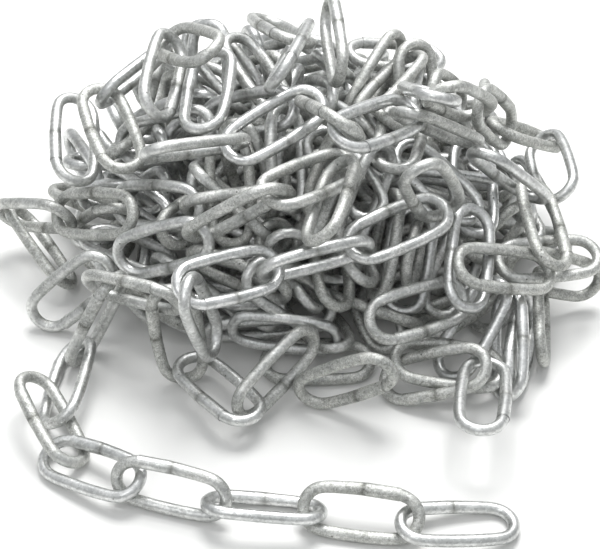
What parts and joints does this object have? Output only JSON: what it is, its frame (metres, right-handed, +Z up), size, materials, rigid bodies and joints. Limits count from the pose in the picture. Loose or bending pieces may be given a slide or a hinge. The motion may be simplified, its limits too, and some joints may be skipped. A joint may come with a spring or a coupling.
{
  "type": "heap of steel chain",
  "caption": "Long-link galvanised steel chain thrown down in a mound, its free end lying out on the floor in front.",
  "frame": {"origin": "on the floor under the middle of the mound", "axes": "+Z up, +X to the right as the chain's free end lies in front, -Y towards the free end"},
  "size_m": [0.2133, 0.2129, 0.0925],
  "materials": {
    "galvanised_wire": "bright galvanised zinc, satin, grainy, with butt-weld marks",
    "buried_links": "the shaded inside of the heap, galvanised links seen between links"
  },
  "bodies": {
    "root": {"heap_core": "buried_links", "arch_link_01": "galvanised_wire", "base_link_01": "galvanised_wire", "corner_link_01": "galvanised_wire", "crest_link_01": "galvanised_wire", "crest_link_02": "galvanised_wire", "edge_link_01": "galvanised_wire", "foot_link_01": "galvanised_wire", "front_link_01": "galvanised_wire", "front_link_02": "galvanised_wire", "front_link_03": "galvanised_wire", "front_link_04": "galvanised_wire", "front_link_05": "galvanised_wire", "lean_link_01": "galvanised_wire", "left_link_01": "galvanised_wire", "left_link_02": "galvanised_wire", "left_link_03": "galvanised_wire", "loop_link_01": "galvanised_wire", "middle_link_01": "galvanised_wire", "middle_link_02": "galvanised_wire", "middle_link_03": "galvanised_wire", "middle_link_04": "galvanised_wire", "middle_link_05": "galvanised_wire", "peak_link_01": "galvanised_wire", "peak_link_02": "galvanised_wire", "rail_link_01": "galvanised_wire", "rail_link_02": "galvanised_wire", "rib_link_01": "galvanised_wire", "right_link_01": "galvanised_wire", "right_link_02": "galvanised_wire", "right_link_03": "galvanised_wire", "right_link_04": "galvanised_wire", "right_link_05": "galvanised_wire", "shoulder_link_01": "galvanised_wire", "shoulder_link_02": "galvanised_wire", "side_far_link_01": "galvanised_wire", "side_middle_link_01": "galvanised_wire", "side_near_link_01": "galvanised_wire", "skirt_link_01": "galvanised_wire", "skirt_link_02": "galvanised_wire", "slant_link_01": "galvanised_wire", "slant_link_02": "galvanised_wire", "slant_link_03": "galvanised_wire", "slant_link_04": "galvanised_wire", "spire_link_01": "galvanised_wire", "spur_link_01": "galvanised_wire", "strut_link_01": "galvanised_wire", "stub_link_01": "galvanised_wire", "tail_link_01": "galvanised_wire", "tail_link_02": "galvanised_wire", "tail_link_03": "galvanised_wire", "tail_link_04": "galvanised_wire", "tail_link_05": "galvanised_wire", "tail_link_06": "galvanised_wire", "tail_link_07": "galvanised_wire", "tail_link_08": "galvanised_wire", "tail_link_09": "galvanised_wire", "tail_link_10": "galvanised_wire", "tail_link_11": "galvanised_wire", "tail_link_12": "galvanised_wire"}
  },
  "joints": []
}
